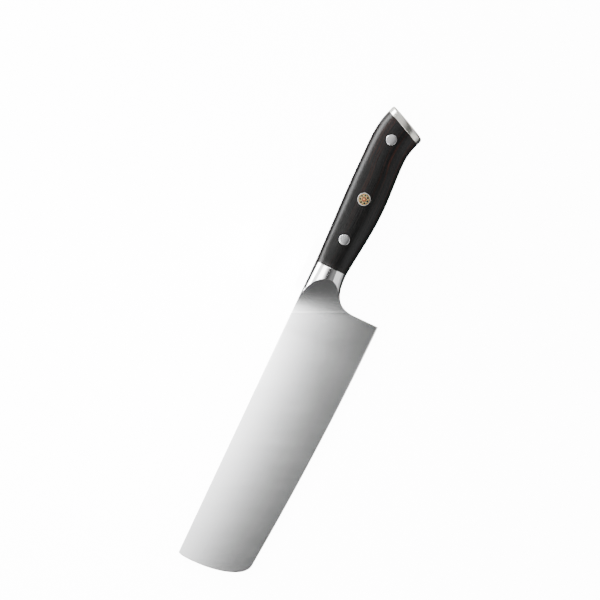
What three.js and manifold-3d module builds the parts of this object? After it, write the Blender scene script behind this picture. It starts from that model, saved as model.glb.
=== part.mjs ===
// Nakiri: a double-bevel vegetable knife with a full tang, two ebony scales, a welded bolster and an end cap.
// Drawn in millimetres from the heel corner: +X to the tip, +Y from the spine to the edge, +Z to the left side.
import * as THREE from 'three';
import { mergeVertices } from 'three/addons/utils/BufferGeometryUtils.js';
import Module from 'manifold-3d';

// Blade
const bladeLength = 177.7;
const heelHeight = 51.8;
const edgeHeelSlope = 0.008;
const edgeBellyRadius = 2150;
const tipSpineSetback = 1.6;
const tipSpineRound = 0.8;
const tipFullestDepth = 10;
const tipCornerLength = 13;
const tipCornerRise = 16;
const tipCornerReach = 8;
const spineThickness = 2.3;
const tipThickness = 1.9;
const behindEdgeThickness = 0.5;
const edgeBevelWidth = 0.9;
const edgeFlat = 0.1;

// Neck between the heel and the bolster joint
const bolsterJointSetback = 20.6;
const neckDepth = 20.7;
const choilDrop = 36;
const choilRearReach = 13.6;
const choilFrontReach = 12.2;

// Bolster
const bolsterThickness = 16.4;
const bolsterTaper = 0.118;
const grindRadius = 45;
const grindSlant = 14;
const grindStart = 12.9;
const featherThickness = 0.35;
const weldGap = 0.02;

// Handle outline behind the bolster joint
const backHumpSetback = 69.4;
const backHumpRise = 1.8;
const backEndSetback = 101.6;
const backEndDrop = 1.3;
const palmSwellSetback = 45.4;
const palmSwellDepth = 24.6;
const waistSetback = 76.4;
const waistDepth = 23.4;
const bellyEndSetback = 90.1;
const bellyEndDepth = 25.95;
const endSlope = 0.345;
const swellThickness = 19.2;
const waistThickness = 18.6;
const buttThickness = 19.2;
const sectionPower = 2.15;

// End cap
const capThickness = 4.6;
const capRoundBack = 0.5;
const capRoundBelly = 1.7;
const capRoundSide = 0.7;
const capGap = 0.03;
const tenonWidth = 12;
const tenonLength = 2.8;
const tenonFit = 0.1;

// Cutler's rivets, a solid half pressed into a hollow half
const frontRivetSetback = 18.8;
const rearRivetSetback = 86;
const rivetLine = 10.4;
const rivetHeadDiameter = 7.2;
const rivetHeadThickness = 2.2;
const rivetShankDiameter = 5;
const rivetPinDiameter = 3;
const rivetShankReach = 3;
const rivetFit = 0.1;
const proudOfWood = 0.08;

// Mosaic pin
const mosaicSetback = 46.2;
const mosaicLine = 10.65;
const mosaicDiameter = 8.2;
const mosaicSleeveWall = 0.5;
const mosaicRingCount = 7;
const mosaicTurn = 9;
const mosaicResinSkin = 0.14;
const mosaicCoreDiameter = 0.84;
const mosaicCentreCore = 1;
const mosaicFit = 0.03;

// Steps along and across the curved faces, and sides of the round pieces
const scaleSteps = 30;
const tangSteps = 40;
const bolsterSteps = 20;
const acrossSteps = 20;
const edgeSteps = 36;
const tipSteps = 18;
const tipSpineSteps = 8;
const choilSteps = 20;
const grindSteps = 32;
const capRoundSteps = 4;
const headSides = 36;
const shankSides = 24;
const tubeSides = 18;
const rodSides = 12;

// How far a cutter reaches past what it cuts
const overrun = 20;

const wasm = await Module();
wasm.setup();

const at = (x, y) => new THREE.Vector2(x, y);
const rad = THREE.MathUtils.degToRad;

function solidOf(geometry) {
  const bare = geometry.clone();
  bare.deleteAttribute('normal');
  bare.deleteAttribute('uv');
  const merged = mergeVertices(bare, 1e-5);
  const vertProperties = new Float32Array(merged.attributes.position.array);
  const triVerts = new Uint32Array(merged.index.array);
  return new wasm.Manifold(new wasm.Mesh({ numProp: 3, vertProperties, triVerts }));
}

function geometryOf(solid) {
  const mesh = solid.getMesh();
  const geometry = new THREE.BufferGeometry();
  geometry.setAttribute('position', new THREE.BufferAttribute(new Float32Array(mesh.vertProperties), 3));
  geometry.setIndex(new THREE.BufferAttribute(new Uint32Array(mesh.triVerts), 1));
  geometry.computeVertexNormals();
  return geometry;
}

// The same piece for the knife's right side.
function mirrored(solid) {
  const geometry = geometryOf(solid).scale(1, 1, -1);
  geometry.setIndex([...geometry.index.array].reverse());
  return solidOf(geometry);
}

// A skin through rings of points, each ring closed, with both ends capped flat.
function loft(rings) {
  const size = rings[0].length;
  const positions = rings.flat().flatMap((p) => [p.x, p.y, p.z]);
  const faces = [];
  for (let i = 0; i + 1 < rings.length; i++) {
    for (let j = 0; j < size; j++) {
      const a = i * size + j;
      const b = i * size + ((j + 1) % size);
      faces.push(a, b, b + size, a, b + size, a + size);
    }
  }
  const last = (rings.length - 1) * size;
  for (let j = 1; j + 1 < size; j++) {
    faces.push(0, j + 1, j, last, last + j, last + j + 1);
  }
  const geometry = new THREE.BufferGeometry();
  geometry.setAttribute('position', new THREE.Float32BufferAttribute(positions, 3));
  geometry.setIndex(faces);
  const solid = solidOf(geometry);
  return solid.volume() < 0 ? solidOf(geometry.setIndex([...faces].reverse())) : solid;
}

function curvePath(...curves) {
  const path = new THREE.CurvePath();
  curves.forEach((curve) => path.add(curve));
  return path;
}

const bezier = (...points) => new THREE.CubicBezierCurve(...points);

// A curve that leaves and arrives at given slopes.
const easeShare = 0.36;
function easedCurve(from, to, fromSlope, toSlope) {
  const run = (to.x - from.x) * easeShare;
  return bezier(from, at(from.x + run, from.y + run * fromSlope), at(to.x - run, to.y - run * toSlope), to);
}

// Outline of the handle
const jointX = -bolsterJointSetback;
const behindJoint = (setback, y) => at(jointX - setback, y);
const backJoint = at(jointX, 0);
const bellyJoint = at(jointX, neckDepth);
const backHump = behindJoint(backHumpSetback, -backHumpRise);
const backEnd = behindJoint(backEndSetback, backEndDrop);
const palmSwell = behindJoint(palmSwellSetback, palmSwellDepth);
const waist = behindJoint(waistSetback, waistDepth);
const bellyEnd = behindJoint(bellyEndSetback, bellyEndDepth);
const backSlope = (backJoint.y - backHump.y) / (backJoint.x - backHump.x);
const backCurve = curvePath(
  easedCurve(backJoint, backHump, backSlope, 0),
  easedCurve(backHump, backEnd, 0, -endSlope),
);
const bellySlope = (bellyJoint.y - palmSwell.y) / (bellyJoint.x - palmSwell.x);
const bellyCurve = curvePath(
  easedCurve(bellyJoint, palmSwell, bellySlope, 0),
  easedCurve(palmSwell, waist, 0, 0),
  easedCurve(waist, bellyEnd, 0, -endSlope),
);
const choilCurve = bezier(
  bellyJoint,
  at(jointX + choilRearReach, neckDepth),
  at(0, choilDrop - choilFrontReach),
  at(0, choilDrop),
);

// Outline of the blade
const edgeY = (x) => heelHeight - edgeHeelSlope * x - (x * x) / (2 * edgeBellyRadius);
const edgeEndX = bladeLength - tipCornerLength;
const edgeEnd = at(edgeEndX, edgeY(edgeEndX));
const edgeEndSlope = -edgeHeelSlope - edgeEndX / edgeBellyRadius;
const tipFullest = at(bladeLength, tipFullestDepth);
const tipShoulder = edgeEnd.y - tipCornerRise;
const tipSpine = at(bladeLength - tipSpineSetback, 0);
const edgePoints = Array.from({ length: edgeSteps + 1 }, (_, i) => {
  const x = (edgeEndX * i) / edgeSteps;
  return at(x, edgeY(x));
});
const tipCurve = bezier(
  edgeEnd,
  at(edgeEnd.x + tipCornerReach, edgeEnd.y + tipCornerReach * edgeEndSlope),
  at(bladeLength, tipShoulder),
  tipFullest,
);

const tipFront = new THREE.QuadraticBezierCurve(tipFullest, at(bladeLength, tipSpineRound), tipSpine);

// Thickness of the blade: a flat taper from the spine to the edge and from the heel to the tip.
const spineHalf = spineThickness / 2;
const taperAcross = (spineThickness - behindEdgeThickness) / 2 / heelHeight;
const taperAlong = (spineThickness - tipThickness) / 2 / bladeLength;
const faceZ = (x, y) => spineHalf - taperAcross * y - taperAlong * (x - jointX);

// The bolster's round grind is slanted; the bolster ends where the grind leaves its feather thickness.
const slant = rad(grindSlant);
const alongGrind = (p) => p.x * Math.cos(slant) + p.y * Math.sin(slant);
const featherRun = Math.sqrt(featherThickness * (2 * grindRadius - featherThickness));
const featherAt = grindStart - featherRun;
const featherX = (y) => (featherAt - y * Math.sin(slant)) / Math.cos(slant);

// Stations of the handle run from the back to the belly, square at the joint and slanted at the end cap.
const thicknessCurve = new THREE.SplineCurve([
  at(0, bolsterThickness),
  at(1, swellThickness),
  at(2, waistThickness),
  at(3, buttThickness),
]);
const capAlong = bellyEnd.clone().sub(backEnd).normalize();
const capOut = at(-capAlong.y, capAlong.x);
const rounded = (value, power) => Math.sign(value) * Math.abs(value) ** (2 / power);

// One side of an oval section on a seat, from the back to the belly.
function halfSection(back, belly, halfThickness, seatZ, power) {
  return Array.from({ length: acrossSteps + 1 }, (_, j) => {
    const angle = (Math.PI * j) / acrossSteps;
    const p = back.clone().lerp(belly, (1 - rounded(Math.cos(angle), power)) / 2);
    const low = seatZ(p.x, p.y);
    const share = j % acrossSteps === 0 ? 0 : rounded(Math.sin(angle), power);
    return new THREE.Vector3(p.x, p.y, low + (halfThickness - low) * share);
  });
}

// The whole oval section, both sides.
function fullSection(back, belly, halfThickness, power) {
  const left = halfSection(back, belly, halfThickness, () => spineHalf, power);
  const right = left.map((p) => new THREE.Vector3(p.x, p.y, -p.z)).reverse();
  return [...left, ...right];
}

const tangSeat = () => spineHalf;
const handleStation = (share) => ({
  back: backCurve.getPointAt(share),
  belly: bellyCurve.getPointAt(share),
  half: thicknessCurve.getPoint(share).y / 2,
});
const handleShares = Array.from({ length: scaleSteps + 1 }, (_, i) => i / scaleSteps);

const scaleBlank = loft(handleShares.map((share) => {
  const { back, belly, half } = handleStation(share);
  return halfSection(back, belly, half, tangSeat, sectionPower);
}));
const finishedContour = loft(handleShares.map((share) => {
  const { back, belly, half } = handleStation(share);
  return fullSection(back, belly, half + proudOfWood, sectionPower);
}));

// A round bar along Z through the handle at a point of the side view.
function bar(center, radius, fromZ, toZ, sides) {
  const geometry = new THREE.CylinderGeometry(radius, radius, toZ - fromZ, sides);
  geometry.rotateX(Math.PI / 2);
  geometry.translate(center.x, center.y, (fromZ + toZ) / 2);
  return solidOf(geometry);
}

const throughBar = (center, radius, sides) => bar(center, radius, -overrun, overrun, sides);

// Height of the wood over the middle plane at a point of the side view, read with a thin probe.
const probeRadius = 0.05;
function woodHeight(center) {
  const probe = geometryOf(bar(center, probeRadius, 0, overrun, rodSides).intersect(finishedContour));
  probe.computeBoundingBox();
  return probe.boundingBox.max.z - proudOfWood;
}

// Rivets
const rivetCenters = {
  front: behindJoint(frontRivetSetback, rivetLine),
  rear: behindJoint(rearRivetSetback, rivetLine),
};
const mosaicCenter = behindJoint(mosaicSetback, mosaicLine);
const headRadius = rivetHeadDiameter / 2;
const shankRadius = rivetShankDiameter / 2;
const pinRadius = rivetPinDiameter / 2;

function solidHalf(center) {
  const under = woodHeight(center) - rivetHeadThickness;
  const head = bar(center, headRadius, under, overrun, headSides).intersect(finishedContour);
  const pin = bar(center, pinRadius, rivetFit - under, under + rivetFit, shankSides);
  return head.add(pin);
}

function hollowHalf(center) {
  const under = woodHeight(center) - rivetHeadThickness;
  const head = bar(center, headRadius, -overrun, -under, headSides).intersect(finishedContour);
  const shank = bar(center, shankRadius, -under - rivetFit, rivetShankReach, shankSides);
  const bore = bar(center, pinRadius + rivetFit / 2, -under, overrun, shankSides);
  return head.add(shank).subtract(bore);
}

function rivetHole(center) {
  const under = woodHeight(center) - rivetHeadThickness;
  const shank = throughBar(center, shankRadius + rivetFit, shankSides);
  const counterbore = bar(center, headRadius + rivetFit, under, overrun, headSides);
  return shank.add(counterbore);
}

// Scales
const mosaicRadius = mosaicDiameter / 2;
const mosaicHole = throughBar(mosaicCenter, mosaicRadius + mosaicFit, headSides);
const leftScale = [rivetCenters.front, rivetCenters.rear]
  .reduce((wood, center) => wood.subtract(rivetHole(center)), scaleBlank)
  .subtract(mosaicHole);

// End cap: oval like the handle's end, with its outer edges rounded over.
const capRun = at(-1, endSlope);
capRun.divideScalar(capRun.dot(capOut));
function capSection(depth, ease) {
  const back = backEnd.clone().addScaledVector(capRun, capGap + depth);
  const belly = bellyEnd.clone().addScaledVector(capRun, capGap + depth);
  back.addScaledVector(capAlong, capRoundBack * ease);
  belly.addScaledVector(capAlong, -capRoundBelly * ease);
  return fullSection(back, belly, buttThickness / 2 - capRoundSide * ease, sectionPower);
}
const capRoundDepth = Math.max(capRoundBack, capRoundBelly, capRoundSide);
const capSections = [capSection(0, 0)];
for (let i = 0; i <= capRoundSteps; i++) {
  const angle = (Math.PI / 2) * (i / capRoundSteps);
  const depth = capThickness - capRoundDepth + capRoundDepth * Math.sin(angle);
  capSections.push(capSection(depth, 1 - Math.cos(angle)));
}

// Tenon at the end of the tang, and the slot for it in the cap
const capMiddle = backEnd.clone().lerp(bellyEnd, 0.5);
function tenonOutline(grow, from, to) {
  const half = tenonWidth / 2 + grow;
  const corner = (along, out) =>
    capMiddle.clone().addScaledVector(capAlong, along).addScaledVector(capOut, out);
  return [corner(-half, from), corner(-half, to), corner(half, to), corner(half, from)];
}
function plate(points, halfThickness) {
  const geometry = new THREE.ExtrudeGeometry(new THREE.Shape(points), {
    depth: 2 * halfThickness,
    bevelEnabled: false,
  });
  geometry.translate(0, 0, -halfThickness);
  return solidOf(geometry);
}
const tenonSlot = plate(tenonOutline(tenonFit, -tenonFit, tenonLength + tenonFit), spineHalf + tenonFit);
const endCap = loft(capSections).subtract(tenonSlot);

// Blade blank cut from sheet: edge, tip, spine, tang and choil
const outline = [
  ...edgePoints,
  ...tipCurve.getPoints(tipSteps).slice(1),
  ...tipFront.getPoints(tipSpineSteps).slice(1),
  ...backCurve.getSpacedPoints(tangSteps),
  ...tenonOutline(0, 0, tenonLength),
  ...bellyCurve.getSpacedPoints(tangSteps).reverse(),
  ...choilCurve.getPoints(choilSteps).slice(1),
];
const blank = plate(outline, spineHalf);

// The grinds of the left side: the flat taper, the bolster's seat sunk a little into it, and the edge bevel.
function flatWaste(frontX, sink) {
  const corners = [
    at(jointX, -overrun),
    at(frontX(-overrun), -overrun),
    at(frontX(heelHeight + overrun), heelHeight + overrun),
    at(jointX, heelHeight + overrun),
  ];
  const low = corners.map((p) => new THREE.Vector3(p.x, p.y, faceZ(p.x, p.y) - sink));
  const high = corners.map((p) => new THREE.Vector3(p.x, p.y, overrun));
  return loft([low, high]);
}
const taperWaste = flatWaste(() => bladeLength + overrun, 0);
const seatWaste = flatWaste((y) => featherX(y) + weldGap, weldGap);

function bevelWaste() {
  const beforeHeel = at(-edgeBevelWidth, heelHeight + edgeBevelWidth * edgeHeelSlope);
  const pastEdge = at(edgeEnd.x + tipCornerReach, edgeEnd.y + tipCornerReach * edgeEndSlope);
  const rings = [beforeHeel, ...edgePoints, pastEdge].map((p) => {
    const shoulder = faceZ(p.x, p.y - edgeBevelWidth);
    const rise = (shoulder - edgeFlat / 2) / edgeBevelWidth;
    const onBevel = (inset) => new THREE.Vector3(p.x, p.y - inset, edgeFlat / 2 + inset * rise);
    const clear = new THREE.Vector3(p.x, p.y + edgeBevelWidth, spineThickness);
    return [onBevel(2 * edgeBevelWidth), onBevel(-edgeBevelWidth), clear];
  });
  return loft(rings);
}

const groundLeft = taperWaste.add(seatWaste).add(bevelWaste());
const tangHoles = [
  throughBar(rivetCenters.front, shankRadius + rivetFit, shankSides),
  throughBar(rivetCenters.rear, shankRadius + rivetFit, shankSides),
  mosaicHole,
];
const blade = tangHoles
  .reduce((steel, hole) => steel.subtract(hole), blank)
  .subtract(groundLeft)
  .subtract(mirrored(groundLeft));

// Bolster: an oval that thins towards the blade, hollowed by a round grind that runs out into the blade.
function shareAt(curve, stop) {
  let low = 0;
  let high = 1;
  for (let i = 0; i < 40; i++) {
    const middle = (low + high) / 2;
    if (alongGrind(curve.getPointAt(middle)) < stop) {
      low = middle;
    } else {
      high = middle;
    }
  }
  return low;
}
const choilShare = shareAt(choilCurve, featherAt);
const bolsterBlank = loft(Array.from({ length: bolsterSteps + 1 }, (_, i) => {
  const share = i / bolsterSteps;
  const back = at(THREE.MathUtils.lerp(jointX, featherX(0), share), 0);
  const belly = choilCurve.getPointAt(choilShare * share);
  const middleX = (back.x + belly.x) / 2;
  const half = bolsterThickness / 2 - bolsterTaper * (middleX - jointX);
  return halfSection(back, belly, half, faceZ, sectionPower);
}));

const grindSweep = 60;
function grindWaste() {
  const shape = new THREE.Shape();
  shape.moveTo(-grindRadius, 0);
  shape.lineTo(0, 0);
  shape.absarc(0, grindRadius, grindRadius, -Math.PI / 2, rad(grindSweep - 90), false);
  shape.lineTo(-grindRadius, grindRadius);
  const geometry = new THREE.ExtrudeGeometry(shape, {
    depth: 2 * heelHeight,
    bevelEnabled: false,
    curveSegments: grindSteps,
  });
  geometry.translate(0, 0, -heelHeight);
  const up = new THREE.Vector3(taperAlong, taperAcross, 1).normalize();
  const rearward = new THREE.Vector3(-Math.cos(slant), -Math.sin(slant), 0);
  rearward.addScaledVector(up, -rearward.dot(up)).normalize();
  const axis = new THREE.Vector3().crossVectors(rearward, up);
  const startX = grindStart * Math.cos(slant);
  const startY = grindStart * Math.sin(slant);
  const placed = new THREE.Matrix4().makeBasis(rearward, up, axis);
  placed.setPosition(startX, startY, faceZ(startX, startY));
  return solidOf(geometry.applyMatrix4(placed));
}
const leftBolster = bolsterBlank.subtract(grindWaste());

// Mosaic pin: brass tubes in a ring with dark cores, copper rods in the outer gaps, a copper tube inside.
const sleeveBore = mosaicRadius - mosaicSleeveWall;
const halfStep = Math.PI / mosaicRingCount;
const ringRadius = (sleeveBore - mosaicResinSkin / 2) / (1 + Math.sin(halfStep));
const brassRadius = ringRadius * Math.sin(halfStep) - mosaicResinSkin / 2;
const copperReach = sleeveBore - mosaicResinSkin;
const brassReach = brassRadius + mosaicResinSkin;
const ringProjection = ringRadius * Math.cos(halfStep);
const copperRadius =
  (copperReach ** 2 + ringRadius ** 2 - 2 * copperReach * ringProjection - brassReach ** 2) /
  (2 * (copperReach - ringProjection + brassReach));
const copperRing = copperReach - copperRadius;
const coreRadius = mosaicCoreDiameter / 2;
const centreRadius = ringRadius - brassReach;
const centreCoreRadius = mosaicCentreCore / 2;
const flush = (solid) => solid.intersect(finishedContour);

function onRing(radius, index, turn) {
  const angle = -Math.PI / 2 - rad(mosaicTurn) + turn + 2 * halfStep * index;
  return at(mosaicCenter.x + radius * Math.cos(angle), mosaicCenter.y + radius * Math.sin(angle));
}
const ringIndexes = Array.from({ length: mosaicRingCount }, (_, i) => i);
const brassCenters = ringIndexes.map((i) => onRing(ringRadius, i, halfStep));
const copperCenters = ringIndexes.map((i) => onRing(copperRing, i, 0));
const tube = (center, outer, bore, sides) =>
  flush(throughBar(center, outer, sides).subtract(throughBar(center, bore, sides)));
const rod = (center, radius, sides) => flush(throughBar(center, radius, sides));
const sleeve = tube(mosaicCenter, mosaicRadius, sleeveBore, headSides);
const centreTube = tube(mosaicCenter, centreRadius, centreCoreRadius + mosaicFit, tubeSides);
const brassTube = (center) => tube(center, brassRadius, coreRadius + mosaicFit, tubeSides);
const resinSpaces = [
  ...brassCenters.map((center) => throughBar(center, brassRadius + mosaicFit, tubeSides)),
  ...copperCenters.map((center) => throughBar(center, copperRadius + mosaicFit, rodSides)),
  throughBar(mosaicCenter, centreRadius + mosaicFit, tubeSides),
];
const resinFill = flush(resinSpaces.reduce(
  (resin, space) => resin.subtract(space),
  throughBar(mosaicCenter, sleeveBore - mosaicFit, headSides),
));

// Materials
function paint(color, roughness, metalness) {
  return new THREE.MeshStandardMaterial({ color, roughness, metalness });
}
const satinSteel = paint(0xb9bcbf, 0.38, 1);
const polishedSteel = paint(0xd5d7d9, 0.12, 1);
const ebony = paint(0x241a16, 0.32, 0);
const brass = paint(0xd9b66a, 0.3, 1);
const copper = paint(0xc0683c, 0.3, 1);
const nickelSilver = paint(0xd2d2cc, 0.2, 1);
const darkResin = paint(0x15120f, 0.4, 0);
const oliveResin = paint(0x332e22, 0.4, 0);

const piece = (name, solid, material) => {
  const mesh = new THREE.Mesh(geometryOf(solid), material);
  mesh.name = name;
  return mesh;
};
const groupOf = (name, ...members) => {
  const group = new THREE.Group();
  group.name = name;
  group.add(...members);
  return group;
};

const forged = groupOf(
  'blade_and_bolster',
  piece('blade', blade, satinSteel),
  piece('bolster_left', leftBolster, polishedSteel),
  piece('bolster_right', mirrored(leftBolster), polishedSteel),
);
const grip = groupOf(
  'grip',
  piece('scale_left', leftScale, ebony),
  piece('scale_right', mirrored(leftScale), ebony),
  piece('end_cap', endCap, polishedSteel),
);
const rivets = groupOf('rivets', ...Object.entries(rivetCenters).flatMap(([place, center]) => [
  piece(`rivet_${place}_solid`, solidHalf(center), polishedSteel),
  piece(`rivet_${place}_hollow`, hollowHalf(center), polishedSteel),
]));
const mosaic = groupOf(
  'mosaic_pin',
  piece('mosaic_sleeve', sleeve, nickelSilver),
  piece('mosaic_resin', resinFill, oliveResin),
  piece('mosaic_centre_tube', centreTube, copper),
  piece('mosaic_centre_rod', rod(mosaicCenter, centreCoreRadius, rodSides), brass),
);
for (const i of ringIndexes) {
  mosaic.add(piece(`mosaic_brass_tube_${i + 1}`, brassTube(brassCenters[i]), brass));
  mosaic.add(piece(`mosaic_dark_core_${i + 1}`, rod(brassCenters[i], coreRadius, rodSides), darkResin));
  mosaic.add(piece(`mosaic_copper_rod_${i + 1}`, rod(copperCenters[i], copperRadius, rodSides), copper));
}

// The knife lies on its right side, with the middle of its box over the origin.
const knife = groupOf('nakiri_knife', forged, grip, rivets, mosaic);
const box = new THREE.Box3().setFromObject(knife);
knife.position.set(-(box.min.x + box.max.x) / 2, -(box.min.y + box.max.y) / 2, -box.min.z);

export default knife;
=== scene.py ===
"""Looks of the nakiri knife: satin blade, polished bolster and cap, ebony scales, rivets, mosaic pin."""
import math

import bmesh
import bpy
import numpy as np
from mathutils import Matrix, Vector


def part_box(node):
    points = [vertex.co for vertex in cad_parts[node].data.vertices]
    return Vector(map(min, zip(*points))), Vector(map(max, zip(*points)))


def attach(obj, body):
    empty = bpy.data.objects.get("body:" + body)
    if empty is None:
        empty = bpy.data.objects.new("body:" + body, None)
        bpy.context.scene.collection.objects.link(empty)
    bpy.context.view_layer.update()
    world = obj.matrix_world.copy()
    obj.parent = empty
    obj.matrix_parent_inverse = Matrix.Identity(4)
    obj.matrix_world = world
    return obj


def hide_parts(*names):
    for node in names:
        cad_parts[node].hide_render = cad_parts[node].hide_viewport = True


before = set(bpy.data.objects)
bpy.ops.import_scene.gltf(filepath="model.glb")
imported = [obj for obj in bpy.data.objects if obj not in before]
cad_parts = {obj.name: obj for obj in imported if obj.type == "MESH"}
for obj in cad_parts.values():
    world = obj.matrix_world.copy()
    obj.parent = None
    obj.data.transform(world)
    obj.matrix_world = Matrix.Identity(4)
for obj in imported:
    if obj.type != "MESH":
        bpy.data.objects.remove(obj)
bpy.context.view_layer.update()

MM = 0.001

# The part's own sizes in millimetres, drawn from the point of the spine over the heel

BLADE_LENGTH = 177.7
HEEL_HEIGHT = 51.8
EDGE_HEEL_SLOPE = 0.008
EDGE_BELLY_RADIUS = 2150
TIP_SPINE_SETBACK = 1.6
TIP_SPINE_ROUND = 0.8
TIP_FULLEST_DEPTH = 10
TIP_CORNER_LENGTH = 13
TIP_CORNER_RISE = 16
TIP_CORNER_REACH = 8
SPINE_THICKNESS = 2.3
TIP_THICKNESS = 1.9
BEHIND_EDGE_THICKNESS = 0.5
EDGE_BEVEL_WIDTH = 0.9
EDGE_FLAT = 0.1

JOINT_X = -20.6
NECK_DEPTH = 20.7
CHOIL_DROP = 36
CHOIL_REAR_REACH = 13.6
CHOIL_FRONT_REACH = 12.2

BOLSTER_THICKNESS = 16.4
BOLSTER_TAPER = 0.118
GRIND_RADIUS = 45
GRIND_SLANT = math.radians(14)
GRIND_START = 12.9
FEATHER_THICKNESS = 0.35

BACK_HUMP = (69.4, -1.8)
BACK_END = (101.6, 1.3)
PALM_SWELL = (45.4, 24.6)
WAIST = (76.4, 23.4)
BELLY_END = (90.1, 25.95)
END_SLOPE = 0.345
GRIP_THICKNESS = (16.4, 19.2, 18.6, 19.2)
SECTION_POWER = 2.15
EASE_SHARE = 0.36

CAP_THICKNESS = 4.6
CAP_ROUND_BACK = 0.5
CAP_ROUND_BELLY = 1.7
CAP_ROUND_SIDE = 0.7
CAP_GAP = 0.03
TENON_WIDTH = 12
TENON_LENGTH = 2.8

RIVET_SETBACKS = (18.8, 86)
RIVET_LINE = 10.4
RIVET_HEAD_RADIUS = 3.6
RIVET_HEAD_THICKNESS = 2.2
RIVET_SHANK_RADIUS = 2.5
PROUD_OF_WOOD = 0.08

PIN_SETBACK = 46.2
PIN_LINE = 10.65
PIN_RADIUS = 4.1
PIN_WALL = 0.5
PIN_COUNT = 7
PIN_TURN = math.radians(9)
PIN_SKIN = 0.14
PIN_CORE_RADIUS = 0.42
PIN_CENTRE_CORE = 0.5
PIN_FIT = 0.03

SPINE_HALF = SPINE_THICKNESS / 2
TAPER_ACROSS = (SPINE_THICKNESS - BEHIND_EDGE_THICKNESS) / 2 / HEEL_HEIGHT
TAPER_ALONG = (SPINE_THICKNESS - TIP_THICKNESS) / 2 / BLADE_LENGTH

# Drawing axes: x to the tip, y from the spine to the edge, z from the middle plane to the left side.
blade_low, blade_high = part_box("blade")
DRAWING_ORIGIN = np.array([
    blade_high.x - BLADE_LENGTH * MM,
    blade_high.y - HEEL_HEIGHT * MM,
    (blade_low.z + blade_high.z) / 2,
])


def at(axis, length):
    """A drawing length on one of the frame's axes, in metres."""
    return float(DRAWING_ORIGIN["XYZ".index(axis)]) + length * MM


# Curves and surfaces of the knife, in the drawing's millimetres

CURVE_POINTS, CHOIL_POINTS = 600, 1200


def bezier(points, count):
    share = np.linspace(0, 1, count)[:, None]
    points = [np.asarray(point, float) for point in points]
    while len(points) > 1:
        points = [a * (1 - share) + b * share for a, b in zip(points, points[1:])]
    return points[0]


def lengths_along(line):
    """Lengths from a line's start to each of its points."""
    return np.concatenate([[0], np.cumsum(np.linalg.norm(np.diff(line, axis=0), axis=1))])


def spaced(line, shares):
    """Points at given shares of a line's length."""
    lengths = lengths_along(line)
    return np.stack([np.interp(shares, lengths / lengths[-1], line[:, k]) for k in range(2)], axis=1)


def eased(start, end, start_slope, end_slope):
    start, end = np.asarray(start, float), np.asarray(end, float)
    run = (end[0] - start[0]) * EASE_SHARE
    return bezier([
        start,
        start + run * np.array([1, start_slope]),
        end - run * np.array([1, end_slope]),
        end,
    ], CURVE_POINTS)


def behind_joint(place):
    return np.array([JOINT_X - place[0], place[1]])


def smooth(low, high, value):
    share = np.clip((value - low) / (high - low), 0, 1)
    return share * share * (3 - 2 * share)


def face_z(x, y):
    """Height of the blade's flat taper over the middle plane."""
    return SPINE_HALF - TAPER_ACROSS * y - TAPER_ALONG * (x - JOINT_X)


def edge_y(x):
    return HEEL_HEIGHT - EDGE_HEEL_SLOPE * x - x * x / (2 * EDGE_BELLY_RADIUS)


back_joint, belly_joint = np.array([JOINT_X, 0.0]), np.array([JOINT_X, NECK_DEPTH])
hump, back_end = behind_joint(BACK_HUMP), behind_joint(BACK_END)
swell, waist, belly_end = (behind_joint(place) for place in (PALM_SWELL, WAIST, BELLY_END))
cap_along = (belly_end - back_end) / np.linalg.norm(belly_end - back_end)
cap_out = np.array([-cap_along[1], cap_along[0]])
back_slope = (hump[1] - back_joint[1]) / (hump[0] - back_joint[0])
belly_slope = (swell[1] - belly_joint[1]) / (swell[0] - belly_joint[0])
back_line = np.vstack([
    eased(back_joint, hump, back_slope, 0),
    eased(hump, back_end, 0, -END_SLOPE)[1:],
])
belly_line = np.vstack([
    eased(belly_joint, swell, belly_slope, 0),
    eased(swell, waist, 0, 0)[1:],
    eased(waist, belly_end, 0, -END_SLOPE)[1:],
])
choil_line = bezier([
    belly_joint,
    (JOINT_X + CHOIL_REAR_REACH, NECK_DEPTH),
    (0, CHOIL_DROP - CHOIL_FRONT_REACH),
    (0, CHOIL_DROP),
], CHOIL_POINTS)
heel = np.array([0.0, HEEL_HEIGHT])
rivet_centres = [behind_joint((setback, RIVET_LINE)) for setback in RIVET_SETBACKS]
pin_centre = behind_joint((PIN_SETBACK, PIN_LINE))


def grip_thickness(share):
    """A smooth curve through the thicknesses at the joint, swell, waist and butt."""
    sizes = np.array(GRIP_THICKNESS)
    spot = np.clip(share, 0, 1) * (len(sizes) - 1)
    part = np.minimum(spot.astype(int), len(sizes) - 2)
    t = spot - part
    before, here = sizes[np.maximum(part - 1, 0)], sizes[part]
    there, after = sizes[part + 1], sizes[np.minimum(part + 2, len(sizes) - 1)]
    v0, v1 = (there - before) / 2, (after - here) / 2
    return (
        (2 * here - 2 * there + v0 + v1) * t ** 3
        + (3 * there - 3 * here - 2 * v0 - v1) * t ** 2
        + v0 * t
        + here
    )


def rounded(value):
    return np.sign(value) * np.abs(value) ** (2 / SECTION_POWER)


def oval(back, belly, half, seat, angles):
    """One side of an oval section, from the back to the belly, standing on its seat."""
    across = (1 - rounded(np.cos(angles))) / 2
    flat = back[..., None, :] * (1 - across[:, None]) + belly[..., None, :] * across[:, None]
    low = seat(flat[..., 0], flat[..., 1])
    rise = rounded(np.sin(angles))
    rise[[0, -1]] = 0
    height = low + (half[..., None] - low) * rise
    return np.concatenate([flat, height[..., None]], axis=-1)


def tang_seat(x, y):
    return np.full_like(x, SPINE_HALF)


# Meshes

MERGE_DISTANCE = 1e-8


def grid_faces(rows, columns, closed=False):
    faces = []
    for row in range(rows - 1):
        for column in range(columns if closed else columns - 1):
            a = row * columns + column
            b = row * columns + (column + 1) % columns
            faces.append((a, b, b + columns, a + columns))
    return faces


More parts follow.
